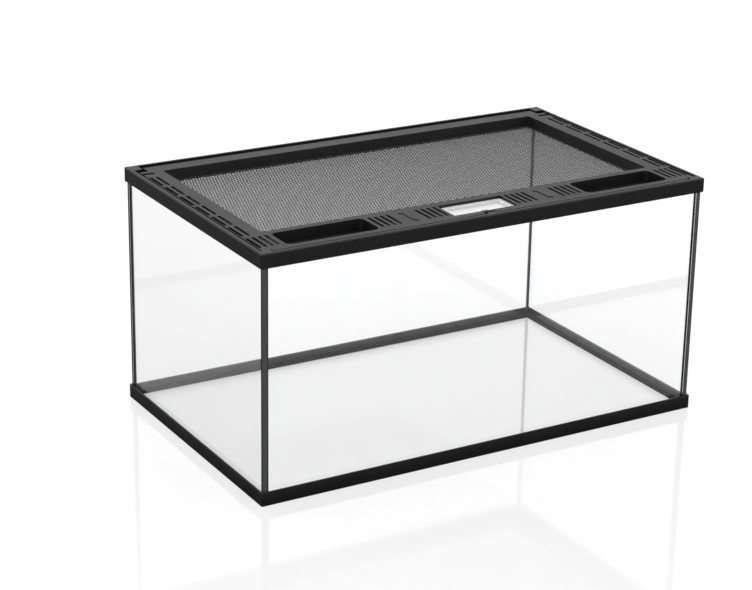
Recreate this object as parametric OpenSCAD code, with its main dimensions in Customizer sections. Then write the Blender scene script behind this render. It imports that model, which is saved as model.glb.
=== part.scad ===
// Rimmed glass hamster tank with a hinged lid.
// The lid holds a wire mesh, two hand pockets, ventilation slots and a clear feed hatch.
// The origin is on the table at the centre of the tank; +X is right, -Y is the front, +Z is up.

/* [Overall] */
// Width over the frames
overall_w = 500; // [430:5:700]
// Depth over the frames
overall_d = 300; // [250:5:400]
// Height from the table to the rim
overall_h = 250; // [150:5:400]

/* [Frames] */
// Wall of the base frame and of the top frame
frame_wall = 2; // [1.6:0.1:2.6]
// Radius of the frames' upright outer corners
frame_corner_r = 1.5; // [0.8:0.1:3]
// Chamfer along the top edge of the rim
rim_chamfer = 1.2; // [0.4:0.1:1.8]
// Height of the base frame
base_h = 14; // [11:0.5:25]
// How far the floor pane rests on the base frame's flange
floor_seat = 1.35; // [1:0.05:6]
// Thickness of that flange
base_flange_t = 2; // [1.5:0.1:4]
// Height of the top frame's skirt
rim_h = 14.5; // [13:0.5:25]
// Width of the rim strip round the lid
rim_strip_w = 4; // [3.4:0.1:6]
// Reach of the ledge over the glass, past the inner face of the panes
ledge_reach = 2.25; // [1.8:0.05:4]
// Thickness of the ledge
ledge_t = 2.2; // [1.5:0.1:3]
// Width of the corner blocks at the back of the rim, along X
back_block_w = 13; // [8:0.5:15]
// Depth of those blocks, along Y
back_block_d = 16; // [8:0.5:20]
// Width of the corner blocks at the front of the rim, along X
front_block_w = 13.5; // [8:0.5:20]
// Depth of those blocks, along Y
front_block_d = 9; // [6:0.5:12]
// Width of the keeper tongue at the middle of the front rim
keeper_w = 9; // [6:0.5:11]
// Reach of the keeper tongue from the rim strip
keeper_d = 4; // [3:0.1:4.4]
// Thickness of the keeper tongue
keeper_t = 3.1; // [2:0.1:3.5]

/* [Glass] */
// Thickness of every pane
glass_t = 5; // [4:0.5:8]
// Gap between a frame wall and the glass, filled with adhesive
bond_gap = 0.25; // [0.2:0.05:0.6]
// How far that adhesive stays inside the edge of each frame
bond_inset = 1.5; // [0.5:0.1:3]
// Gap between a side pane and the end of the front or back pane
pane_joint = 0.5; // [0.3:0.1:1]
// Gap between the floor pane and the walls
floor_joint = 0.4; // [0.3:0.1:1]
// How far the black silicone reaches into a corner joint
seal_depth = 4; // [1:0.1:4]
// Leg of the silicone fillet in the upright corners
corner_fillet = 1.5; // [1:0.1:4]
// Leg of the silicone fillet round the floor
floor_fillet = 2; // [1:0.1:4]

/* [Lid] */
// Thickness of the lid's plate
lid_t = 2.5; // [2:0.1:3.2]
// How far the lid's top lies below the rim
lid_recess = 0.6; // [0.5:0.1:1]
// Height of the lid's edge ribs, plate included
lid_edge_h = 7; // [5.8:0.1:9]
// Thickness of the ribs under the lid
rib_t = 2; // [1.5:0.1:2.2]
// Gap from the rim strip to the lid, at the left and right
lid_side_gap = 2.5; // [1.5:0.1:3.5]
// Gap from the rim strip to the lid, at the front
lid_front_gap = 3; // [1.5:0.1:3]
// Gap from the rim strip to the lid, at the back
lid_back_gap = 7; // [6.7:0.1:10]
// Gap from a front corner block to the lid, along X
block_gap_x = 2; // [1:0.1:3]
// Gap from a front corner block to the lid, along Y
block_gap_y = 1; // [0.6:0.1:2]
// Clearance between pieces that move past each other
clear = 0.3; // [0.25:0.05:0.4]

/* [Lid hinge] */
// Distance from the lid's back edge to the hinge axis
hinge_from_back = 13.5; // [12:0.5:15]
// Width of the hinge tongue at each back corner, along X
tongue_w = 9.5; // [8:0.5:12]
// Width of the flex slot in front of the tongue
flex_slot_w = 5; // [3:0.5:7]
// How far the flex slot reaches inwards past the tongue
flex_neck = 3; // [1.5:0.5:5]
// Land between the hinge knuckle and the flex slot
flex_land = 1; // [0.5:0.1:2]
// Radius of the stub pins on the tongues
stub_r = 1.5; // [1.2:0.1:2]
// Depth of the stub in the rim
stub_in_rim = 2; // [1.5:0.1:2.5]
// Radial clearance of every stub pin in its bore
stub_clear = 0.05; // [0.02:0.01:0.1]

/* [Mesh] */
// Band of the lid between its side edge and the mesh
side_band = 23.5; // [22:0.5:40]
// Band at the front, which holds the pockets and the hatch
front_band = 51; // [50:0.5:80]
// Band at the back
back_band = 17; // [16:0.5:40]
// Depth of the mesh below the lid's top
mesh_drop = 11; // [9:0.5:11.5]
// Wall round the mesh opening
mesh_wall = 2; // [1.5:0.1:3]
// Seat on which the mesh lies, from the opening outwards
mesh_seat_w = 6; // [5.5:0.1:6.4]
// Thickness of the seat
mesh_seat_t = 1.5; // [1:0.1:2]
// Thickness of the flattened edge of the mesh
mesh_t = 0.8; // [0.4:0.1:1]
// Thickness of the retainer below the mesh
retainer_t = 1.8; // [1.2:0.1:2]
// Set-back of the mesh from the outer edge of its seat
mesh_set_back = 0.5; // [0.3:0.1:1]
// Set-back of the retainer from the seat's outer edge
retainer_set_back = 0.3; // [0.2:0.1:0.6]
// Set-back of the retainer from the mesh opening
retainer_lip_back = 0.5; // [0:0.1:1]
// Radius of the staked pegs that hold the retainer
peg_r = 1.1; // [0.8:0.1:1.3]
// Height and overhang of the pegs' staked heads
peg_head = 0.8; // [0.5:0.1:1]
// Gap round a peg in the mesh and in the retainer
peg_hole_gap = 0.1; // [0.05:0.05:0.2]
// Distance from the corner of the mesh opening to its first peg
peg_inset = 10; // [6:1:20]
// Pegs on each long side
pegs_long = 6; // [4:1:10]
// Pegs on each short side
pegs_short = 3; // [2:1:6]

/* [Slots and pockets] */
// Width of a ventilation slot
slot_w = 3.3; // [2.5:0.1:3.6]
// Distance from slot to slot
slot_pitch = 6.5; // [6:0.1:7]
// Distance from the lid's edge to its first slot
slot_edge = 2.5; // [2:0.1:3]
// Distance from the lid's front edge to the front slots
slot_from_front = 11.5; // [10:0.5:14]
// Length of the front slots
front_slot_len = 29.5; // [20:0.5:31]
// Distance from the lid's front edge to the side slots
side_slot_from_front = 47; // [46:0.5:52]
// Distance from the side slots to the flex slot
side_slot_from_flex = 10; // [6:0.5:14]
// Rows of slots along each side
slot_rows = 6; // [3:1:9]
// Gap between two rows
slot_row_gap = 4.8; // [3:0.1:8]
// Distance from the middle of the lid to its inner slot group
slot_group_1 = 41; // [41:0.5:48]
// Distance from the middle of the lid to its second slot group
slot_group_2 = 92.5; // [86:0.5:93]
// Distance of the curved grip marks from the middle
mark_x = 76.5; // [73:0.5:80]
// Length of a grip mark's straight bar
mark_len = 16; // [10:0.5:20]
// Width of a grip mark
mark_w = 1.2; // [0.8:0.1:1.6]
// Radius of the bends at its ends
mark_bend = 4; // [3:0.5:5]
// Inner edge of the hand pockets, from the middle
pocket_x = 117.7; // [116:0.1:125]
// Distance from the lid's side edge to the pocket
pocket_from_edge = 28.3; // [28:0.1:60]
// Width of the pockets, front to back
pocket_d = 35.5; // [25:0.5:36]
// Distance from the lid's front edge to the pocket
pocket_from_front = 7.5; // [6:0.5:10]
// Depth of the pockets below the lid's top
pocket_depth = 11.4; // [8:0.1:12]
// Wall and floor of the pockets
pocket_wall = 1.5; // [1.2:0.1:1.6]
// Corner radius of the pockets
pocket_r = 6; // [2:0.5:10]

/* [Feed hatch] */
// Width of the hatch's recess in the lid
window_w = 72; // [60:1:73]
// Depth of that recess, front to back
window_d = 33; // [28:0.5:35]
// Distance from the lid's front edge to the recess
window_from_front = 8.5; // [8:0.1:12]
// Depth of the hatch's top below the lid's top
hatch_drop = 2.4; // [1.5:0.1:3]
// Thickness of the hatch's flange
hatch_t = 2; // [1.8:0.1:3]
// Gap round the hatch in its recess
hatch_gap = 0.4; // [0.3:0.1:0.8]
// Gap behind the hatch's rounded back edge
hatch_back_gap = 0.6; // [0.5:0.1:1]
// Width of the ledge under the hatch
window_ledge_w = 3; // [2:0.1:4]
// Thickness of that ledge
window_ledge_t = 1.8; // [1.2:0.1:2.5]
// Width of the hatch's flat border
hatch_border = 4.5; // [4.4:0.1:8]
// Wall and floor of the hatch's shallow pan
pan_t = 1.4; // [1:0.1:1.8]
// Radius of the hatch's stub pins
hatch_stub_r = 0.8; // [0.6:0.1:0.9]
// Length of the hatch's stub pins
hatch_stub_len = 1.6; // [1.2:0.1:1.8]
// Gap between the bolt and the hatch's cut-out, at each side
cutout_gap = 0.8; // [0.5:0.1:1.5]
// Gap behind the bolt in that cut-out
cutout_back_gap = 0.5; // [0.4:0.1:1]
// Width of the two finger lips beside the cut-out
lip_w = 8; // [5:0.5:12]
// Thickness of a finger lip, front to back
lip_d = 1.2; // [0.8:0.1:1.5]
// Height of a finger lip above the hatch
lip_h = 0.8; // [0.4:0.1:1.2]
// Distance from the cut-out to a finger lip
lip_from_cutout = 1; // [0.5:0.1:3]
// Distance from the hatch's front edge to the lips
lip_set_back = 0.4; // [0.2:0.1:1]

/* [Lid catch] */
// Width of the sliding bolt
bolt_w = 8; // [6:0.5:9]
// Travel of the bolt
bolt_travel = 2.2; // [1.5:0.1:2.4]
// Width of the notch in the lid round the keeper
notch_w = 13; // [12:0.5:16]
// Depth of that notch from the lid's front edge
notch_d = 5.5; // [5:0.1:6]
// Wall of the bolt's guide, at each side
guide_wall = 2.7; // [2:0.1:3.5]
// Thickness of the stop behind the bolt
stop_t = 1; // [0.8:0.1:1.5]
// Gap between that stop and the hatch's pan
stop_gap = 1.2; // [0.6:0.1:2]
// Length of the bolt behind its thumb ridge
bolt_tail = 0.2; // [0.1:0.1:1]
// Set-back of the thumb ridge from the bolt's sides
thumb_inset = 0.5; // [0:0.1:1]
// Thumb ridge on the bolt, along Y
thumb_d = 2; // [1.5:0.1:2.5]
// Height of the thumb ridge above the bolt
thumb_h = 2; // [1:0.1:2.4]

/* [Hidden] */
$fn = 48;
eps = 0.01;
half_w = overall_w / 2;
half_d = overall_d / 2;

// Inner corners of the frames, small enough to leave the panes' square corners clear
cavity_r = 3 * bond_gap;

// Glass: outer faces, inner faces, and heights of the walls and the floor
base_flange_w = frame_wall + bond_gap + glass_t + floor_joint + floor_seat;
glass_x1 = half_w - frame_wall - bond_gap;
glass_y1 = half_d - frame_wall - bond_gap;
glass_x0 = glass_x1 - glass_t;
glass_y0 = glass_y1 - glass_t;
lid_top = overall_h - lid_recess;
edge_z = lid_top - lid_edge_h;
ledge_z1 = edge_z - clear;
ledge_z0 = ledge_z1 - ledge_t;
floor_top = base_flange_t + glass_t;
rim_z0 = overall_h - rim_h;
open_x = glass_x0 - ledge_reach;
open_y = glass_y0 - ledge_reach;

// Lid: half width, front and back edges, and the underside of its plate
lid_x = half_w - rim_strip_w - lid_side_gap;
lid_y0 = -half_d + rim_strip_w + lid_front_gap;
lid_y1 = half_d - rim_strip_w - lid_back_gap;
plate_z = lid_top - lid_t;
notch_x = half_w - front_block_w - block_gap_x;
notch_y = -half_d + front_block_d + block_gap_y;

// Lid hinge: the knuckle is as high as the lid's edge, so its top is flush with the plate
hinge_y = lid_y1 - hinge_from_back;
knuckle_r = lid_edge_h / 2;
hinge_z = lid_top - knuckle_r;
tongue_x0 = lid_x - tongue_w;
flex_y1 = hinge_y - knuckle_r - flex_land;
flex_y0 = flex_y1 - flex_slot_w;

// Mesh opening and its stack of seat, mesh and retainer
mesh_x = lid_x - side_band;
mesh_y0 = lid_y0 + front_band;
mesh_y1 = lid_y1 - back_band;
mesh_size = [2 * mesh_x, mesh_y1 - mesh_y0];
mesh_mid = (mesh_y0 + mesh_y1) / 2;
seat_z = lid_top - mesh_drop;
retainer_z1 = seat_z - mesh_t;
retainer_z0 = retainer_z1 - retainer_t;
peg_line = mesh_wall + (mesh_seat_w - mesh_wall) / 2;
peg_z = retainer_z0 - peg_head;

// Front slots, side slots and the rib between the two side columns
front_slots = [lid_y0 + slot_from_front, lid_y0 + slot_from_front + front_slot_len];
mark_y = (front_slots[0] + front_slots[1]) / 2;
side_slots = [lid_y0 + side_slot_from_front, flex_y0 - side_slot_from_flex];
row_len = (side_slots[1] - side_slots[0] - (slot_rows - 1) * slot_row_gap) / slot_rows;
side_rib_x = lid_x - slot_edge - slot_pitch / 2;

// Pockets
pocket_w = lid_x - pocket_from_edge - pocket_x;
pocket_mid = [pocket_x + pocket_w / 2, lid_y0 + pocket_from_front + pocket_d / 2];

// Hatch, from the recess in the lid
win_x = window_w / 2;
win_y0 = lid_y0 + window_from_front;
win_y1 = win_y0 + window_d;
hatch_z1 = lid_top - hatch_drop;
hatch_z0 = hatch_z1 - hatch_t;
hatch_axis = [win_y1 - hatch_t / 2 - hatch_back_gap, hatch_z0 + hatch_t / 2];
hatch_x = win_x - hatch_gap;
hatch_y0 = win_y0 + hatch_gap;
win_ledge_z1 = hatch_z0 - clear;
win_ledge_z0 = win_ledge_z1 - window_ledge_t;
pan_x = hatch_x - hatch_border;
pan_y0 = hatch_y0 + hatch_border;
pan_y1 = hatch_axis[0] - hatch_border;

// Bolt: it lies under the plate, with its nose clear behind the keeper
keeper_y = -half_d + rim_strip_w + keeper_d;
bolt_z1 = plate_z - clear;
bolt_z0 = win_ledge_z0 + clear;
bolt_y0 = keeper_y + clear;
thumb_y0 = win_y0 + clear + bolt_travel;
bolt_y1 = thumb_y0 + thumb_d + bolt_tail;
tunnel_x = bolt_w / 2 + clear;
guide_x = bolt_w / 2 + guide_wall;
guide_y0 = lid_y0 + notch_d;
guide_y1 = bolt_y1 + clear + stop_t;
guide_z0 = win_ledge_z0 - window_ledge_t;
cutout_x = bolt_w / 2 + cutout_gap;
cutout_y1 = bolt_y1 + cutout_back_gap;
step_x = tunnel_x + stop_gap;
step_y = guide_y1 + stop_gap;

// Outline of a rectangle with round corners, centred
module rounded_rect(size, r) {
    square([size[0] - 2 * r, size[1]], center = true);
    square([size[0], size[1] - 2 * r], center = true);
    for (sx = [-1, 1], sy = [-1, 1])
        translate([sx * (size[0] / 2 - r), sy * (size[1] / 2 - r)]) circle(r);
}

// Upright block with round corners from z0 to z1
module block(size, r, z0, z1) {
    translate([0, 0, z0]) linear_extrude(z1 - z0) rounded_rect(size, r);
}

// Box given by its lowest and highest corners
module span(low, high) {
    translate(low) cube(high - low);
}

// The child and its mirror image on the left
module both_sides() {
    for (side = [0, 1]) mirror([side, 0, 0]) children();
}

// Ring of even width between two upright faces
module ring(outer_x, outer_y, inner_x, inner_y, z0, z1) {
    difference() {
        span([-outer_x, -outer_y, z0], [outer_x, outer_y, z1]);
        span([-inner_x, -inner_y, z0 - 1], [inner_x, inner_y, z1 + 1]);
    }
}

// Base frame: an angle moulding that the whole tank stands in
module base_frame() {
    cavity = [overall_w - 2 * frame_wall, overall_d - 2 * frame_wall];
    opening = [overall_w - 2 * base_flange_w, overall_d - 2 * base_flange_w];
    color("#1d1d1f") difference() {
        block([overall_w, overall_d], frame_corner_r, 0, base_h);
        block(cavity, cavity_r, base_flange_t, base_h + 1);
        block(opening, frame_corner_r, -1, base_flange_t + 1);
    }
}

// Adhesive between a frame and the panes, from z0 to z1
module bond(z0, z1) {
    color("#141414") difference() {
        block([overall_w - 2 * frame_wall, overall_d - 2 * frame_wall], cavity_r, z0, z1);
        span([-glass_x1, -glass_y1, z0 - 1], [glass_x1, glass_y1, z1 + 1]);
    }
}

// Floor pane, inside the walls
module floor_glass() {
    x = glass_x0 - floor_joint;
    y = glass_y0 - floor_joint;
    color("#dfeeee", 0.35) span([-x, -y, base_flange_t], [x, y, floor_top]);
}

// Front or back pane, between the side panes
module long_pane(y0) {
    x = glass_x0 - pane_joint;
    color("#dfeeee", 0.35) span([-x, y0, base_flange_t], [x, y0 + glass_t, ledge_z0]);
}

// Side pane, over the full depth
module side_pane(x0) {
    color("#dfeeee", 0.35)
        span([x0, -glass_y1, base_flange_t], [x0 + glass_t, glass_y1, ledge_z0]);
}

// Silicone in an upright corner: a strip in the joint and a hollow fillet inside
module corner_seal(sx, sy) {
    z0 = floor_top + floor_fillet;
    color("#101010") translate([0, 0, z0]) linear_extrude(rim_z0 - z0) in_corner(sx, sy) {
        translate([glass_x0 - pane_joint, glass_y0]) square([pane_joint, seal_depth]);
        difference() {
            translate([glass_x0 - corner_fillet, glass_y0 - corner_fillet]) square(corner_fillet);
            translate([glass_x0 - corner_fillet, glass_y0 - corner_fillet]) circle(corner_fillet);
        }
    }
}

// Mirrors an outline into one of the four corners
module in_corner(sx, sy) {
    mirror([sx < 0 ? 1 : 0, 0]) mirror([0, sy < 0 ? 1 : 0]) children();
}

// Silicone along the front or back of the floor: joint strip and fillet, seen from its end
module floor_seal_outline() {
    translate([-floor_joint, base_flange_t]) square([floor_joint, glass_t]);
    difference() {
        translate([-floor_fillet, floor_top]) square(floor_fillet);
        translate([-floor_fillet, floor_top + floor_fillet]) circle(floor_fillet);
    }
}

// Floor seal along a front or back pane
module long_floor_seal(sy) {
    color("#101010") mirror([0, sy < 0 ? 1 : 0, 0]) translate([-glass_x0, glass_y0, 0])
        rotate([90, 0, 90]) linear_extrude(2 * glass_x0) floor_seal_outline();
}

// Floor seal along a side pane, between the two long ones
module side_floor_seal(sx) {
    half = glass_y0 - floor_fillet;
    color("#101010") mirror([sx < 0 ? 1 : 0, 0, 0]) translate([glass_x0, half, 0])
        rotate([90, 0, 0]) linear_extrude(2 * half) floor_seal_outline();
}

// Top frame: skirt over the glass, ledge under the lid, rim strip, corner blocks and keeper
module top_frame() {
    color("#1d1d1f") difference() {
        union() {
            difference() {
                block([overall_w, overall_d], frame_corner_r, rim_z0, overall_h);
                block([overall_w - 2 * frame_wall, overall_d - 2 * frame_wall],
                    cavity_r, rim_z0 - 1, ledge_z0);
                block([overall_w - 2 * rim_strip_w, overall_d - 2 * rim_strip_w],
                    frame_corner_r, ledge_z1, overall_h + 1);
                span([-open_x, -open_y, rim_z0 - 1], [open_x, open_y, overall_h]);
            }
            ring(glass_x0 - bond_gap, glass_y0 - bond_gap, open_x, open_y, rim_z0, ledge_z0 + eps);
            both_sides() {
                span([half_w - back_block_w, half_d - back_block_d, ledge_z0],
                    [half_w - frame_wall, half_d - frame_wall, overall_h]);
                span([half_w - front_block_w, -half_d + frame_wall, ledge_z0],
                    [half_w - frame_wall, -half_d + front_block_d, overall_h]);
            }
            span([-keeper_w / 2, -half_d + frame_wall, overall_h - keeper_t],
                [keeper_w / 2, keeper_y, overall_h]);
        }
        both_sides() translate([half_w - rim_strip_w - 1, hinge_y, hinge_z]) rotate([0, 90, 0])
            cylinder(r = stub_r + stub_clear, h = 1 + stub_in_rim + clear);
        rim_edge_cut();
    }
}

// Chamfer cutters along the four top edges of the rim
module rim_edge_cut() {
    side = rim_chamfer * sqrt(2);
    for (s = [-1, 1]) {
        translate([0, s * half_d, overall_h]) rotate([45, 0, 0])
            cube([overall_w + 10, side, side], center = true);
        translate([s * half_w, 0, overall_h]) rotate([0, 45, 0])
            cube([side, overall_d + 10, side], center = true);
    }
}

// One slot with round ends, from y0 to y1
module slot(x, y0, y1) {
    translate([x - slot_w / 2, y0 + slot_w / 2]) square([slot_w, y1 - y0 - slot_w]);
    for (y = [y0 + slot_w / 2, y1 - slot_w / 2]) translate([x, y]) circle(slot_w / 2);
}

// Every ventilation slot on the right half of the lid
module slots() {
    for (i = [0:3]) {
        for (x = [slot_group_1, slot_group_2])
            slot(x + i * slot_pitch, front_slots[0], front_slots[1]);
        slot(lid_x - slot_edge - i * slot_pitch, front_slots[0], front_slots[1]);
    }
    for (i = [0:1], row = [0:slot_rows - 1]) {
        y = side_slots[0] + row * (row_len + slot_row_gap);
        slot(lid_x - slot_edge - i * slot_pitch, y, y + row_len);
    }
}

// Outline of the lid's plate with its corner notches, flex slots and keeper notch
module lid_outline() {
    difference() {
        translate([-lid_x, lid_y0]) square([2 * lid_x, lid_y1 - lid_y0]);
        both_sides() {
            translate([notch_x, lid_y0 - 1]) square([lid_x, notch_y - lid_y0 + 1]);
            translate([tongue_x0, hinge_y]) square([lid_x, lid_y1]);
            translate([tongue_x0 - flex_neck, flex_y0]) square([lid_x, flex_slot_w]);
        }
        translate([-notch_w / 2, lid_y0 - 1]) square([notch_w, notch_d + 1]);
    }
}

// Curved grip mark: an upright bar whose ends bend away to opposite sides
module grip_mark() {
    square([mark_w, mark_len], center = true);
    for (turn = [0, 180]) rotate(turn) translate([-mark_bend, mark_len / 2]) intersection() {
        difference() {
            circle(mark_bend + mark_w / 2);
            circle(mark_bend - mark_w / 2);
        }
        square(mark_bend + mark_w);
    }
}

// Ribs under the edges of the lid
module lid_ribs() {
    difference() {
        span([-notch_x, lid_y0, edge_z], [notch_x, lid_y0 + rib_t, plate_z + eps]);
        span([-notch_w / 2, lid_y0 - 1, edge_z - 1], [notch_w / 2, lid_y0 + notch_d, lid_top]);
    }
    span([-tongue_x0, lid_y1 - rib_t, edge_z], [tongue_x0, lid_y1, plate_z + eps]);
    both_sides() span([side_rib_x - rib_t / 2, notch_y, edge_z],
        [side_rib_x + rib_t / 2, flex_y0, plate_z + eps]);
}

// Hinge knuckle and stub pin on the right tongue
module hinge_knuckle() {
    translate([tongue_x0 - eps, hinge_y, hinge_z]) rotate([0, 90, 0])
        cylinder(r = knuckle_r, h = tongue_w + eps);
    translate([lid_x - 1, hinge_y, hinge_z]) rotate([0, 90, 0])
        cylinder(r = stub_r, h = 1 + lid_side_gap + stub_in_rim);
}

// Places the child at every staked peg round the mesh
module at_pegs() {
    half = mesh_size / 2;
    for (i = [0:pegs_long - 1], s = [-1, 1])
        translate([(i / (pegs_long - 1) * 2 - 1) * (half[0] - peg_inset),
            mesh_mid + s * (half[1] + peg_line), 0]) children();
    for (i = [0:pegs_short - 1], s = [-1, 1])
        translate([s * (half[0] + peg_line),
            mesh_mid + (i / (pegs_short - 1) * 2 - 1) * (half[1] - peg_inset), 0]) children();
}

// Walls, seat and pegs of the mesh opening
module mesh_surround() {
    translate([0, mesh_mid, 0]) {
        block(mesh_size + [2 * mesh_wall, 2 * mesh_wall], mesh_wall, seat_z, plate_z + eps);
        block(mesh_size + [2 * mesh_seat_w, 2 * mesh_seat_w], mesh_wall, seat_z, seat_z + mesh_seat_t);
    }
    at_pegs() {
        translate([0, 0, peg_z]) cylinder(r = peg_r, h = seat_z + eps - peg_z);
        translate([0, 0, peg_z]) cylinder(r = peg_r + peg_head, h = peg_head);
    }
}

// Walls and ledge of the hatch's recess, with the guide for the bolt in front
module window_surround() {
    span([-win_x - rib_t, win_y0 - rib_t, win_ledge_z0],
        [win_x + rib_t, win_y1 + rib_t, plate_z + eps]);
    span([-guide_x, guide_y0, guide_z0], [guide_x, guide_y1, win_ledge_z0 + eps]);
    span([-guide_x, guide_y0, win_ledge_z0], [guide_x, win_y0, plate_z + eps]);
}

// Space of the hatch above and through its ledge, its stub bores and the bolt's tunnel
module window_cut() {
    span([-win_x, win_y0, win_ledge_z1], [win_x, win_y1, lid_top + 1]);
    difference() {
        span([-win_x + window_ledge_w, win_y0 + window_ledge_w, guide_z0 - 1],
            [win_x - window_ledge_w, win_y1 - window_ledge_w, lid_top]);
        span([-guide_x, win_y0, guide_z0 - 2], [guide_x, guide_y1, win_ledge_z0]);
        span([-tunnel_x, guide_y1 - stop_t, win_ledge_z0 - eps],
            [tunnel_x, guide_y1, win_ledge_z0 + stop_t]);
    }
    span([-tunnel_x, guide_y0 - 1, win_ledge_z0], [tunnel_x, guide_y1 - stop_t, plate_z]);
    translate([-win_x - rib_t - 1, hatch_axis[0], hatch_axis[1]]) rotate([0, 90, 0])
        cylinder(r = hatch_stub_r + stub_clear, h = 2 * (win_x + rib_t + 1));
}

// Lid: one moulding with its plate, ribs, pockets, surrounds and hinge tongues
module lid_panel() {
    color("#2b2b2e") {
        difference() {
            union() {
                translate([0, 0, plate_z]) linear_extrude(lid_t) lid_outline();
                lid_ribs();
                mesh_surround();
                window_surround();
                both_sides() translate([pocket_mid[0], pocket_mid[1], 0])
                    block([pocket_w + 2 * pocket_wall, pocket_d + 2 * pocket_wall],
                        pocket_r + pocket_wall, lid_top - pocket_depth - pocket_wall, plate_z + eps);
                both_sides() hinge_knuckle();
                for (s = [-1, 1]) translate([s * mark_x, mark_y, lid_top - eps])
                    linear_extrude(lid_recess + eps) grip_mark();
            }
            translate([0, mesh_mid, 0])
                block(mesh_size, mesh_wall / 2, seat_z - 1, lid_top + 1);
            both_sides() {
                translate([pocket_mid[0], pocket_mid[1], 0])
                    block([pocket_w, pocket_d], pocket_r, lid_top - pocket_depth, lid_top + 1);
                translate([0, 0, plate_z - 1]) linear_extrude(lid_t + 2) slots();
            }
            window_cut();
        }
    }
}

// Wire mesh, as one thin sheet to the outer edge of its seat
module mesh_screen() {
    edge = 2 * (mesh_seat_w - mesh_set_back);
    color("#4a4a4d") difference() {
        translate([0, mesh_mid, 0])
            block(mesh_size + [edge, edge], mesh_wall, retainer_z1, seat_z);
        at_pegs() translate([0, 0, retainer_z1 - 1]) cylinder(r = peg_r + peg_hole_gap, h = mesh_t + 2);
    }
}

// Retainer ring that clamps the mesh from below
module mesh_retainer() {
    outer = 2 * (mesh_seat_w - retainer_set_back);
    inner = 2 * retainer_lip_back;
    color("#232325") difference() {
        translate([0, mesh_mid, 0]) difference() {
            block(mesh_size + [outer, outer], mesh_wall, retainer_z0, retainer_z1);
            block(mesh_size + [inner, inner], mesh_wall / 2, retainer_z0 - 1, retainer_z1 + 1);
        }
        at_pegs() translate([0, 0, retainer_z0 - 1])
            cylinder(r = peg_r + peg_hole_gap, h = retainer_t + 2);
    }
}

// Clear feed hatch: border, shallow pan, cut-out for the bolt and stub pins
module feed_hatch() {
    lip_x = cutout_x + lip_from_cutout;
    lip_y = hatch_y0 + lip_set_back;
    color("#e8eeee", 0.5) difference() {
        union() {
            span([-hatch_x, hatch_y0, hatch_z0], [hatch_x, hatch_axis[0], hatch_z1]);
            translate([-hatch_x, hatch_axis[0], hatch_axis[1]]) rotate([0, 90, 0])
                cylinder(r = hatch_t / 2, h = 2 * hatch_x);
            translate([-hatch_x - hatch_stub_len, hatch_axis[0], hatch_axis[1]]) rotate([0, 90, 0])
                cylinder(r = hatch_stub_r, h = 2 * (hatch_x + hatch_stub_len));
            pan_block(0, hatch_z0 - pan_t, hatch_z0 + eps);
            both_sides() span([lip_x, lip_y, hatch_z1 - eps],
                [lip_x + lip_w, lip_y + lip_d, hatch_z1 + lip_h]);
        }
        pan_block(pan_t, hatch_z0, hatch_z1 + 1);
        span([-cutout_x, hatch_y0 - 1, hatch_z0 - 1], [cutout_x, cutout_y1, hatch_z1 + 1]);
    }
}

// Block of the hatch's pan, drawn in by a wall, and stepped back round the bolt
module pan_block(wall, z0, z1) {
    difference() {
        span([-pan_x + wall, pan_y0 + wall, z0], [pan_x - wall, pan_y1 - wall, z1]);
        span([-step_x - wall, pan_y0 - 1, z0 - 1], [step_x + wall, step_y + wall, z1 + 1]);
    }
}

// Sliding bolt that locks under the keeper, with a ridge for the thumb
module lid_catch() {
    color("#5a5a5e") {
        span([-bolt_w / 2, bolt_y0, bolt_z0], [bolt_w / 2, bolt_y1, bolt_z1]);
        span([-bolt_w / 2 + thumb_inset, thumb_y0, bolt_z1 - eps],
            [bolt_w / 2 - thumb_inset, thumb_y0 + thumb_d, bolt_z1 + thumb_h]);
    }
}

base_frame();
bond(base_flange_t, base_h - bond_inset);  // base_bond
floor_glass();
long_pane(-glass_y1);  // front_glass
long_pane(glass_y0);  // back_glass
side_pane(-glass_x1);  // left_glass
side_pane(glass_x0);  // right_glass
corner_seal(-1, -1);  // corner_seal_front_left
corner_seal(1, -1);  // corner_seal_front_right
corner_seal(-1, 1);  // corner_seal_back_left
corner_seal(1, 1);  // corner_seal_back_right
long_floor_seal(-1);  // floor_seal_front
long_floor_seal(1);  // floor_seal_back
side_floor_seal(-1);  // floor_seal_left
side_floor_seal(1);  // floor_seal_right
bond(rim_z0 + bond_inset, ledge_z0);  // rim_bond
top_frame();
lid_panel();
mesh_screen();
mesh_retainer();
feed_hatch();
lid_catch();
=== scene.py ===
"""Rimmed glass hamster tank with a hinged mesh lid.

The file follows the tank as it is put together: base frame, panes, silicone, top frame, lid,
mesh, retainer, feed hatch and catch, and then the floor, the light and the camera.
"""
import math

import bmesh
import bpy
import numpy as np
from mathutils import Matrix, Vector


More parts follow.
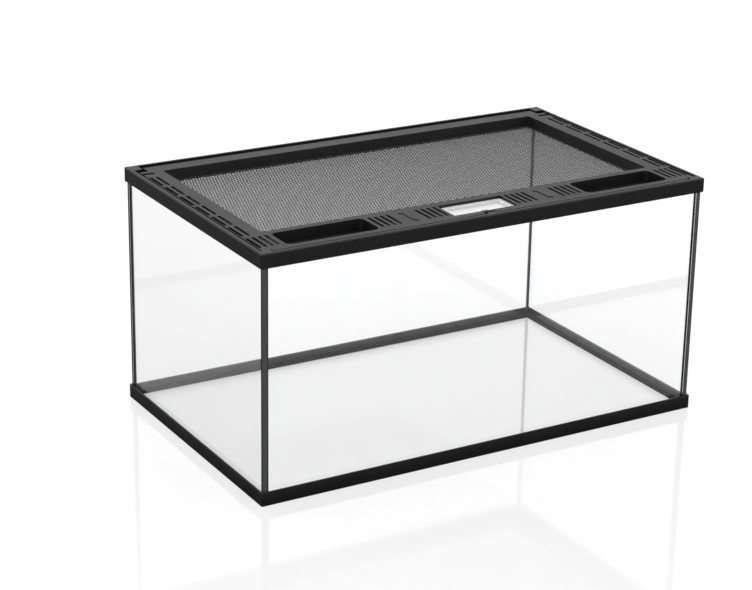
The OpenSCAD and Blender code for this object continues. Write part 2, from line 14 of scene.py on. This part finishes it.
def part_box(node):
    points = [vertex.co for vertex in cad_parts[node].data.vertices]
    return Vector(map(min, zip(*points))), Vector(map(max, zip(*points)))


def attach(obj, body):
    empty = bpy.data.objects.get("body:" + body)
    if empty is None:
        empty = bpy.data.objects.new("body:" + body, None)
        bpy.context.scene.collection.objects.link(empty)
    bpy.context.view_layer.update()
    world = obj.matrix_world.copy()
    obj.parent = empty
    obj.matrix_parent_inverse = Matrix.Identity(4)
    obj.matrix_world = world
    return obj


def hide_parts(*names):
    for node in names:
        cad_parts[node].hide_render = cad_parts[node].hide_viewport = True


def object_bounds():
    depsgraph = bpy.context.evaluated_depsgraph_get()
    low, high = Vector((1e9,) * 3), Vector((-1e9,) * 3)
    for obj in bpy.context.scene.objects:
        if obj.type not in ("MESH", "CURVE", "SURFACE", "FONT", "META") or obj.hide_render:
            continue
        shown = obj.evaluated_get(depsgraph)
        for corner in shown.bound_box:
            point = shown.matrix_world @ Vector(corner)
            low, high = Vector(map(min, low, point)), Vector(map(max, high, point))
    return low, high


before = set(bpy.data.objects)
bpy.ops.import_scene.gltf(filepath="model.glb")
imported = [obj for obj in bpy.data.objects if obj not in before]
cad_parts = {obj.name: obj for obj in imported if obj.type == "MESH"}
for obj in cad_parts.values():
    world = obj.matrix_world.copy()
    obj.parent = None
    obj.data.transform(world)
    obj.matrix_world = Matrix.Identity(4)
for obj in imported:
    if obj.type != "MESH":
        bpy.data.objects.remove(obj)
cad_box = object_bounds()


# ---- Base frame ----------------------------------------------------------------------------
# An angle moulding of black satin plastic, cut and welded into one rectangle. The panes stand
# in its corner on a flange, and its upright wall hides their lower edge. Its arrises are
# rounded by the mould.

FRAME_BLACK = (0.0015, 0.0015, 0.0016)
PLASTIC_IOR = 1.46
BASE_FLANGE_W = 0.009
BASE_CORNER_R = 0.0015
BASE_EDGES = [0.0004, 0.0006, 0.0005, 0.0001, 0.0004, 0.0004]
LEAST_R = 0.0003
base_lo, base_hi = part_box("base_frame")
BASE_WALL = base_hi.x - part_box("base_bond")[1].x
BASE_FLANGE_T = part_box("floor_glass")[0].z


class Value:
    """A shader socket that takes part in sums: each operator adds its Math node."""

    def __init__(self, finish, socket):
        self.finish, self.socket = finish, socket

    def _sum(self, operation, a, b=0.0):
        return self.finish.node("ShaderNodeMath", {"operation": operation}, {0: a, 1: b})

    def __add__(self, other): return self._sum("ADD", self, other)
    def __radd__(self, other): return self._sum("ADD", other, self)
    def __rsub__(self, other): return self._sum("SUBTRACT", other, self)
    def __mul__(self, other): return self._sum("MULTIPLY", self, other)
    def __rmul__(self, other): return self._sum("MULTIPLY", other, self)


class Finish:
    """A material in the making. node() adds one node, and show() ends it in a surface."""

    def __init__(self, name):
        self.material = bpy.data.materials.new(name)
        self.material.use_nodes = True
        self.tree = self.material.node_tree
        self.tree.nodes.clear()

    def node(self, kind, settings=None, sockets=None, output=0):
        """A node of that kind. Its settings are set first, then each socket's value or link."""
        made = self.tree.nodes.new(kind)
        for key, value in (settings or {}).items():
            setattr(made, key, value)
        for key, value in (sockets or {}).items():
            if isinstance(value, Value):
                self.tree.links.new(value.socket, made.inputs[key])
            else:
                made.inputs[key].default_value = value
        return Value(self, made.outputs[output])

    def noise(self, cells_per_mm, detail=2.0):
        """Noise on the piece's own coordinates, 0 to 1, with so many cells in a millimetre."""
        place = self.node("ShaderNodeTexCoord", output="Object")
        return self.node("ShaderNodeTexNoise", {"noise_dimensions": "3D"},
                         {"Vector": place, "Scale": cells_per_mm * 1000, "Detail": detail,
                          "Roughness": 0.55})

    def between(self, share, low, high):
        """The colour between low and high at that share."""
        return self.node("ShaderNodeMix", {"data_type": "RGBA"},
                         {0: share, 6: (*low, 1), 7: (*high, 1)}, output=2)

    def bump(self, height, depth, strength=0.5):
        """The normal of a surface with that height, 0 to 1, and that depth in metres."""
        return self.node("ShaderNodeBump", None,
                         {"Height": height, "Distance": depth, "Strength": strength})

    def surface(self, **sockets):
        """The Principled surface with these sockets."""
        return self.node("ShaderNodeBsdfPrincipled", None,
                         {k.replace("_", " "): v for k, v in sockets.items()})

    def show(self, surface):
        """The material, finished with that surface."""
        end = self.tree.nodes.new("ShaderNodeOutputMaterial")
        self.tree.links.new(surface.socket, end.inputs["Surface"])
        return self.material


def moulded(name, black, rough, grain, lift):
    """Moulded plastic: a fine even grain from the mould, and broad soft changes in its shine."""
    f = Finish(name)
    fine, broad = f.noise(grain, 3.0), f.noise(0.02, 2.0)
    pale = tuple(c * 1.5 + 0.001 for c in black)
    return f.show(f.surface(Base_Color=f.between(broad, black, pale),
                            Roughness=rough - 0.06 + 0.1 * broad + 0.06 * fine,
                            IOR=PLASTIC_IOR, Normal=f.bump(fine, lift)))


def eased(corners, radii, steps=4):
    """A closed outline with eased corners. Each corner P becomes the curve
    (1-s)^2 (P + tu) + 2 s (1-s) P + s^2 (P + tv), with u and v the directions to its neighbours
    and t the corner's radius."""
    p = np.asarray(corners, float)
    u, v = np.roll(p, 1, 0) - p, np.roll(p, -1, 0) - p
    u /= np.linalg.norm(u, axis=1)[:, None]
    v /= np.linalg.norm(v, axis=1)[:, None]
    t = np.asarray(radii, float)[:, None, None]
    s = np.linspace(0, 1, steps)[None, :, None]
    a, b = p[:, None] + t * u[:, None], p[:, None] + t * v[:, None]
    return ((1 - s) ** 2 * a + 2 * s * (1 - s) * p[:, None] + s ** 2 * b).reshape(-1, 2)


def carried(profile, half_x, half_y, corner, arc=5):
    """A profile carried round a rectangle with round corners, as an array (stations, profile, 3).
    A profile point (d, z) lies d inside the outline. Its corner radius is r = corner - d, never
    under a least radius, and at the turn a its point is the corner's centre + r (cos a, sin a)."""
    d, z = np.asarray(profile, float).T
    r = np.maximum(corner - d, LEAST_R)
    turn = np.radians(np.arange(4)[:, None] * 90 + np.linspace(0, 90, arc)).ravel()[:, None]
    side = np.repeat(np.array([[1, 1], [-1, 1], [-1, -1], [1, -1]]), arc, 0)
    x = side[:, :1] * (half_x - d - r) + r * np.cos(turn)
    y = side[:, 1:] * (half_y - d - r) + r * np.sin(turn)
    return np.stack([x, y, np.broadcast_to(z, x.shape)], -1)


def woven_faces(rows, columns, rows_close, columns_close, start=0):
    """The four-sided faces of a grid of rows x columns points, closed where it says."""
    i = np.arange(rows if rows_close else rows - 1)[:, None]
    j = np.arange(columns if columns_close else columns - 1)[None]
    k, m = (i + 1) % rows, (j + 1) % columns
    quad = np.stack(np.broadcast_arrays(i * columns + j, k * columns + j,
                                        k * columns + m, i * columns + m), -1)
    return quad.reshape(-1, 4) + start


def new_piece(name, points, faces, materials, body, nodes=(), smooth=40, second=None):
    """A piece from points and faces, with its normals turned outwards, on a body. second is
    the list of the faces that wear the second material."""
    mesh = bpy.data.meshes.new(name)
    mesh.from_pydata(np.asarray(points, float).reshape(-1, 3).tolist(), [],
                     [list(map(int, f)) for f in faces])
    piece = bpy.data.objects.new(name, mesh)
    bpy.context.scene.collection.objects.link(piece)
    for m in materials:
        mesh.materials.append(m)
    if second is not None:
        mesh.polygons.foreach_set("material_index", np.asarray(second, np.int32))
    b = bmesh.new()
    b.from_mesh(mesh)
    bmesh.ops.recalc_face_normals(b, faces=b.faces)
    b.to_mesh(mesh)
    b.free()
    soften_shading(piece, smooth)
    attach(piece, body)
    if nodes:
        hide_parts(*nodes)
    return piece


def soften_shading(piece, degrees):
    """Shades a piece smoothly except over edges sharper than that angle."""
    piece.data.polygons.foreach_set("use_smooth", np.ones(len(piece.data.polygons), bool))
    piece.data.set_sharp_from_angle(angle=math.radians(degrees))


frame_plastic = moulded("frame satin black", FRAME_BLACK, 0.42, 1.6, 0.00003)
base_profile = eased(
    [(0, base_lo.z), (0, base_hi.z), (BASE_WALL, base_hi.z), (BASE_WALL, BASE_FLANGE_T),
     (BASE_FLANGE_W, BASE_FLANGE_T), (BASE_FLANGE_W, base_lo.z)],
    BASE_EDGES)
base_rings = carried(base_profile, base_hi.x, base_hi.y, BASE_CORNER_R)
new_piece("base_moulding", base_rings,
          woven_faces(base_rings.shape[0], base_rings.shape[1], True, True),
          [frame_plastic], "tank", ["base_frame"])


# ---- Panes ---------------------------------------------------------------------------------
# Five panes of 5 mm float glass. The edges are ground and the arrises taken off, so they look
# frosted and grey, and the faces are clear with the faint bloom of handled glass.

ARRIS = 0.0005


def float_glass(name, colour, rough_low, rough_high, cells, clear_share=1.0):
    """Glass that bends what is seen through it and lets the light of lamps through. Less than
    a whole clear share leaves the rest milky."""
    f = Finish(name)
    bloom = f.noise(cells, 3.0)
    pale = tuple(min(1.0, c * 1.01) for c in colour)
    glass = f.surface(Base_Color=f.between(bloom, colour, pale),
                      Roughness=rough_low + (rough_high - rough_low) * bloom,
                      IOR=1.5, Transmission_Weight=clear_share)
    lamp = f.node("ShaderNodeLightPath", output="Is Shadow Ray")
    clear = f.node("ShaderNodeBsdfTransparent", None, {"Color": (*colour, 1)})
    return f.show(f.node("ShaderNodeMixShader", None, {0: lamp, 1: glass, 2: clear}))


def ground_glass(name, low, high, cells):
    """The frosted edge of a pane: a fine scatter of chips over the dark of the silicone behind."""
    f = Finish(name)
    chips = f.noise(cells, 4.0)
    return f.show(f.surface(Base_Color=f.between(chips, low, high), Roughness=0.4 + 0.25 * chips,
                            IOR=1.5, Normal=f.bump(chips, 0.00005)))


clear_glass = float_glass("float glass", (0.98, 0.981, 0.981), 0.0, 0.02, 0.01)
ground_edge = ground_glass("ground glass edge", (0.025, 0.027, 0.026), (0.07, 0.073, 0.072), 0.8)


def pane(node, thin):
    """A slab with its arrises taken off: a rectangle's outline whose profile steps in by the
    arris at each face, closed by two flat faces. thin is the axis across the slab."""
    lo, hi = (np.array(v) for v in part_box(node))
    a, b = [k for k in range(3) if k != thin]
    thick = (hi - lo)[thin] / 2
    profile = [(ARRIS, -thick), (0, ARRIS - thick), (0, thick - ARRIS), (ARRIS, thick)]
    half = (hi - lo) / 2
    rings = carried(profile, half[a], half[b], LEAST_R, arc=2)
    n = rings.shape[0]
    points = np.zeros((n * 4, 3))
    points[:, [a, b, thin]] = rings.reshape(-1, 3)
    points += (lo + hi) / 2
    caps = [list(range(0, n * 4, 4)), list(range(3, n * 4, 4))]
    faces = woven_faces(n, 4, True, False).tolist() + caps
    edge = np.ones(len(faces), int)
    edge[-2:] = 0
    new_piece(node.replace("glass", "pane"), points, faces, [clear_glass, ground_edge], "tank",
              [node], smooth=20, second=edge)


pane("floor_glass", 2)
pane("front_glass", 1)
pane("back_glass", 1)
pane("left_glass", 0)
pane("right_glass", 0)


# ---- Silicone ------------------------------------------------------------------------------
# Black silicone glues the panes edge to edge and runs round the floor in a hollow bead that a
# fingertip has smoothed. The frames are bedded in the same silicone.

def dress(node, material):
    """Gives a node its finish."""
    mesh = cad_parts[node].data
    mesh.materials.clear()
    mesh.materials.append(material)


silicone_finish = Finish("black silicone")
smoothed = silicone_finish.noise(0.12, 1.0)
silicone = silicone_finish.show(silicone_finish.surface(
    Base_Color=silicone_finish.between(smoothed, (0.002, 0.002, 0.002), (0.005, 0.005, 0.005)),
    Roughness=0.28 + 0.12 * smoothed, IOR=1.35,
    Normal=silicone_finish.bump(smoothed, 0.0003, 0.4)))
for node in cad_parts:
    if "seal" in node or "bond" in node:
        dress(node, silicone)


# ---- Top frame -----------------------------------------------------------------------------
# One black moulding over the panes' upper edges: a skirt, a ledge under the lid, the rim strip
# with its chamfer, four corner blocks and the keeper tongue. It is bedded on silicone.

def eased_copy(name, node, material, body, width, steps=2, angle=35):
    """A copy of a node as one joined skin, flat faces made whole, with its arrises eased."""
    b = bmesh.new()
    b.from_mesh(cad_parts[node].data)
    bmesh.ops.remove_doubles(b, verts=b.verts, dist=1e-6)
    bmesh.ops.dissolve_limit(b, angle_limit=math.radians(0.6), verts=b.verts, edges=b.edges,
                             use_dissolve_boundaries=False)
    mesh = bpy.data.meshes.new(name)
    b.to_mesh(mesh)
    b.free()
    for extra in [a.name for a in mesh.attributes if a.name == "custom_normal"]:
        mesh.attributes.remove(mesh.attributes[extra])
    mesh.materials.clear()
    mesh.materials.append(material)
    piece = bpy.data.objects.new(name, mesh)
    bpy.context.scene.collection.objects.link(piece)
    soften_shading(piece, 40)
    ease = piece.modifiers.new("eased arrises", "BEVEL")
    ease.width, ease.segments, ease.limit_method = width, steps, "ANGLE"
    ease.angle_limit, ease.use_clamp_overlap = math.radians(angle), True
    ease.harden_normals = True
    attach(piece, body)
    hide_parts(node)
    return piece


eased_copy("rim_moulding", "top_frame", frame_plastic, "tank", 0.0003)


# ---- Lid -----------------------------------------------------------------------------------
# One moulding in the same black with a coarser grain. Its top carries rows of slots, two hand
# pockets, raised grip marks and the recess of the hatch. A tongue at each back corner bends to
# snap its stub pin into the rim, and the lid turns on those two pins.

LID_BLACK = (0.0025, 0.0025, 0.0027)
lid_plastic = moulded("lid grained black", LID_BLACK, 0.46, 1.1, 0.00005)
eased_copy("lid_moulding", "lid_panel", lid_plastic, "lid", 0.00025)
dress("mesh_retainer", lid_plastic)


# ---- Mesh ----------------------------------------------------------------------------------
# Plain weave of dark coated wire, cut on the skew and clamped at its edges between the lid's
# seat and the retainer. Each wire passes over one wire and under the next.

WIRE_R = 0.0004
WAVE = 0.29
PITCH = 0.003
SKEW = math.radians(-18)
mesh_lo, mesh_hi = (np.array(v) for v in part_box("mesh_screen"))

wire_finish = Finish("coated wire")
coat = wire_finish.noise(0.5, 2.0)
coated_wire = wire_finish.show(wire_finish.surface(
    Base_Color=wire_finish.between(coat, (0.006, 0.006, 0.0065), (0.016, 0.016, 0.017)),
    Roughness=0.3 + 0.15 * coat, IOR=1.5))


def wires(lean, parity):
    """One set of parallel wires, at the angle lean to X. At the crossing s the wire w stands
    (-1)^(w + s) WAVE R above or below the middle plane, with a square section of radius R. Only
    the crossings inside the mesh's own rectangle are kept, and each wire is closed at its ends."""
    middle, half = (mesh_lo + mesh_hi) / 2, (mesh_hi - mesh_lo) / 2 - WIRE_R
    n = int(np.hypot(*half[:2]) / PITCH) + 1
    w, s = np.meshgrid(np.arange(-n, n + 1), np.arange(-n, n + 1), indexing="ij")
    along, across = np.array([np.cos(lean), np.sin(lean)]), np.array([-np.sin(lean), np.cos(lean)])
    flat = PITCH * (s[..., None] * along + w[..., None] * across)
    inside = (np.abs(flat) < half[:2]).all(-1)
    lift = WIRE_R * WAVE * np.where((w + s + parity) % 2, 1, -1)
    turn = np.radians([45, 135, 225, 315])
    grid = np.zeros((*w.shape, 4, 3))
    grid[..., :2] = middle[:2] + flat[..., None, :] + WIRE_R * np.cos(turn)[:, None] * across
    grid[..., 2] = middle[2] + lift[..., None] + WIRE_R * np.sin(turn)
    first = (np.arange(w.size) * 4).reshape(w.shape)
    joined = inside[:, :-1] & inside[:, 1:]
    before = np.pad(joined, ((0, 0), (1, 0)))
    after = np.pad(joined, ((0, 0), (0, 1)))
    a, b = first[:, :-1][joined][:, None], first[:, 1:][joined][:, None]
    k = np.arange(4)
    m = (k + 1) % 4
    sides = np.stack([a + k, a + m, b + m, b + k], -1).reshape(-1, 4)
    ends = np.concatenate([first[after & ~before][:, None] + k[::-1],
                           first[before & ~after][:, None] + k])
    faces = np.concatenate([sides, ends])
    used, faces = np.unique(faces, return_inverse=True)
    return grid.reshape(-1, 3)[used], faces.reshape(-1, 4)


for name, lean, parity in (("warp_wires", SKEW, 0), ("weft_wires", SKEW + math.pi / 2, 1)):
    points, faces = wires(lean, parity)
    new_piece(name, points, faces, [coated_wire], "lid", ["mesh_screen"], smooth=180)


# ---- Feed hatch ----------------------------------------------------------------------------
# A moulding in slightly milky clear plastic, with a shallow pan, two finger lips and a cut-out
# round the bolt. It turns on two stub pins at its back corners.

hatch_clear = float_glass("clear plastic", (0.93, 0.935, 0.935), 0.12, 0.25, 0.3, 0.45)
eased_copy("hatch_moulding", "feed_hatch", hatch_clear, "hatch", 0.0002)


# ---- Catch ---------------------------------------------------------------------------------
# A grey sliding bolt with a thumb ridge. It runs in a tunnel under the front of the lid, and
# its nose slides under the keeper tongue.

CATCH_GREY = (0.16, 0.16, 0.165)
catch_plastic = moulded("catch grey", CATCH_GREY, 0.38, 1.6, 0.00002)
eased_copy("catch_moulding", "lid_catch", catch_plastic, "catch", 0.0002)


# ---- Floor, light and camera ---------------------------------------------------------------
# A pale, slightly glossy sweep, lit by a white sky all round and a broad lamp overhead. It also
# gives off light of its own, and mirror rays meet a dim floor in its place, so that the black
# mouldings stay black. The camera stands to the front left and looks down a little.

CAMERA_OFFSET = Vector((-1.1007, -1.7996, 0.7783))
CAMERA_AZIMUTH, CAMERA_ELEVATION, CAMERA_ROLL = 30.47, 20.42, 0.96
CAMERA_LENS = 105.2
FLOOR_HALF, FLOOR_ROWS, FLOOR_DROP = 8.0, 9, 0.0002
SKY_STRENGTH = 1.06
LAMP_WATTS, LAMP_SIZE, LAMP_PLACE = 6, (2.0, 1.4), (-0.2, -0.1, 1.8)

floor_finish = Finish("pale sweep")
speck = floor_finish.noise(0.004, 2.0)
pale = floor_finish.surface(
    Base_Color=floor_finish.between(speck, (0.21, 0.21, 0.21), (0.23, 0.23, 0.23)),
    Roughness=0.04 + 0.03 * speck, IOR=1.5,
    Emission_Color=(1, 1, 1, 1), Emission_Strength=0.69)
dim = floor_finish.surface(
    Base_Color=floor_finish.between(speck, (0.05, 0.05, 0.05), (0.06, 0.06, 0.06)), Roughness=0.5)
in_gloss = floor_finish.node("ShaderNodeLightPath", output="Is Glossy Ray")
through = floor_finish.node("ShaderNodeLightPath", output="Is Transmission Ray")
pale_floor = floor_finish.show(floor_finish.node(
    "ShaderNodeMixShader", None, {0: in_gloss * (1 - through), 1: pale, 2: dim}))
reach = np.linspace(-FLOOR_HALF, FLOOR_HALF, FLOOR_ROWS)
u, v = np.meshgrid(reach, reach, indexing="ij")
level = np.full_like(u, cad_box[0].z - FLOOR_DROP)
floor_mesh = bpy.data.meshes.new("floor")
floor_mesh.from_pydata(np.stack([u, v, level], -1).reshape(-1, 3).tolist(), [],
                       woven_faces(FLOOR_ROWS, FLOOR_ROWS, False, False).tolist())
floor = bpy.data.objects.new("floor", floor_mesh)
floor_mesh.materials.append(pale_floor)
bpy.context.scene.collection.objects.link(floor)

world = bpy.data.worlds.new("studio")
bpy.context.scene.world = world
world.use_nodes = True
sky = world.node_tree.nodes["Background"]
sky.inputs["Color"].default_value = (1, 1, 1, 1)
sky.inputs["Strength"].default_value = SKY_STRENGTH

lamp = bpy.data.lights.new("overhead", "AREA")
lamp.energy, lamp.shape = LAMP_WATTS, "RECTANGLE"
lamp.size, lamp.size_y = LAMP_SIZE
overhead = bpy.data.objects.new("overhead", lamp)
overhead.location = LAMP_PLACE
bpy.context.scene.collection.objects.link(overhead)

az, el, roll = (math.radians(a) for a in (CAMERA_AZIMUTH, CAMERA_ELEVATION, CAMERA_ROLL))
ahead = Vector((math.sin(az) * math.cos(el), math.cos(az) * math.cos(el), -math.sin(el)))
across = Vector((math.cos(az), -math.sin(az), 0))
right = across * math.cos(roll) + across.cross(ahead) * math.sin(roll)
up = right.cross(ahead)
camera_data = bpy.data.cameras.new("camera")
camera_data.lens, camera_data.sensor_width = CAMERA_LENS, 36
camera = bpy.data.objects.new("camera", camera_data)
camera.matrix_world = Matrix((
    (right.x, up.x, -ahead.x, 0), (right.y, up.y, -ahead.y, 0),
    (right.z, up.z, -ahead.z, 0), (0, 0, 0, 1)))
camera.location = (cad_box[0] + cad_box[1]) / 2 + CAMERA_OFFSET
bpy.context.scene.collection.objects.link(camera)
bpy.context.scene.camera = camera
bpy.context.scene.view_settings.view_transform = "Standard"
